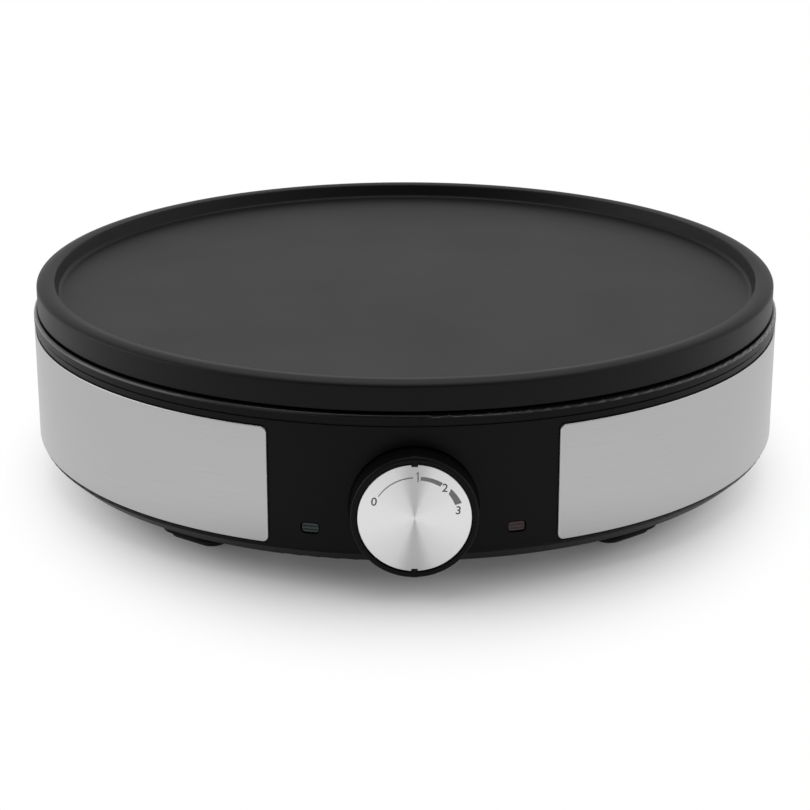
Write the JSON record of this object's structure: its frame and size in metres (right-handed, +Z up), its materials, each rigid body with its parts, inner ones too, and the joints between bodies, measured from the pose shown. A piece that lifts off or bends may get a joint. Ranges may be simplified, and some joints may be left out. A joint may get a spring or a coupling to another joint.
{
  "type": "electric crepe maker",
  "caption": "Round electric crepe maker: shallow non-stick plate on a low black housing with brushed steel side panels, feet, indicator windows and a front control knob.",
  "frame": {"origin": "where the axis of the round body meets the table, at the level of the feet", "axes": "+Z up along the body's axis, -Y towards the front with the knob, +X to the right of someone facing the knob"},
  "size_m": [0.3052, 0.324, 0.0778],
  "materials": {
    "coated_plate": "non-stick coating on cast aluminium, satin",
    "black_plastic": "moulded, fine satin",
    "brushed_steel": "brushed along the band",
    "spun_aluminium": "spun with a concentric lay",
    "rubber": "moulded, matt",
    "zinc_steel": "zinc plated",
    "aluminised_steel": "mill finish",
    "element_sheath": "oxidised steel tube",
    "ceramic": "fired steatite",
    "brass": "machined",
    "bimetal": "rolled strip",
    "silver": "contact silver",
    "green_lens": "clear moulded, dark green",
    "red_lens": "clear moulded, dark red",
    "lamp_glass": "drawn glass",
    "grey_nylon": "moulded nylon",
    "glass_sleeve": "woven glass fibre sleeve",
    "black_lead": "silicone insulation",
    "brown_lead": "silicone insulation",
    "blue_lead": "silicone insulation",
    "green_lead": "silicone insulation",
    "red_lead": "silicone insulation"
  },
  "bodies": {
    "housing": {"baking_plate": "coated_plate", "heating_element": "element_sheath", "element_seals": "ceramic", "element_terminals": "zinc_steel", "heat_reflector": "aluminised_steel", "reflector_screws": "zinc_steel", "plate_spacers": "ceramic", "plate_screws": "zinc_steel", "body_shell": "black_plastic", "steel_panel_left": "brushed_steel", "steel_panel_right": "brushed_steel", "base_cover": "black_plastic", "cover_screws": "zinc_steel", "foot_front_left": "rubber", "foot_front_right": "rubber", "foot_rear_left": "rubber", "foot_rear_right": "rubber", "foot_screws": "zinc_steel", "thermostat_bush": "brass", "thermostat_bracket": "zinc_steel", "bracket_screws": "zinc_steel", "thermostat_rings": "ceramic", "thermostat_rivet": "zinc_steel", "contact_blade": "brass", "fixed_blade": "brass", "bimetal": "bimetal", "bimetal_bead": "ceramic", "contact_points": "silver", "cord_gland": "black_plastic", "power_lens": "green_lens", "ready_lens": "red_lens", "power_lamp": "lamp_glass", "ready_lamp": "lamp_glass", "lamp_holders": "grey_nylon", "terminal_block": "grey_nylon", "terminal_sleeves": "brass", "clamp_screws": "zinc_steel", "block_screws": "zinc_steel", "thermal_fuse": "silver", "fuse_sleeve": "glass_sleeve", "fuse_clip": "zinc_steel", "earth_tab": "zinc_steel", "live_lead": "brown_lead", "switched_lead": "black_lead", "neutral_lead": "blue_lead", "fuse_lead": "blue_lead", "earth_lead": "green_lead", "lamp_link_lead": "blue_lead", "power_lamp_lead": "brown_lead", "ready_lamp_lead": "red_lead"},
    "knob": {"knob_body": "black_plastic", "knob_face": "spun_aluminium", "knob_clip": "zinc_steel", "thermostat_spindle": "zinc_steel"},
    "push_pin": {"push_pin": "ceramic"}
  },
  "joints": [
    {"name": "knob_turn", "type": "hinge", "parent": "housing", "child": "knob", "pos_m": [0, -0.149, 0.031], "axis": [0, -1, 0], "range_deg": [-66, 79]},
    {"name": "push_pin_slide", "type": "slide", "parent": "housing", "child": "push_pin", "axis": [0, -1, 0], "range_m": [-0.00014, 0.00017]}
  ],
  "couplings": [
    {"joint": "push_pin_slide", "follows": "knob_turn", "m_per_rad": 0.00011937}
  ]
}
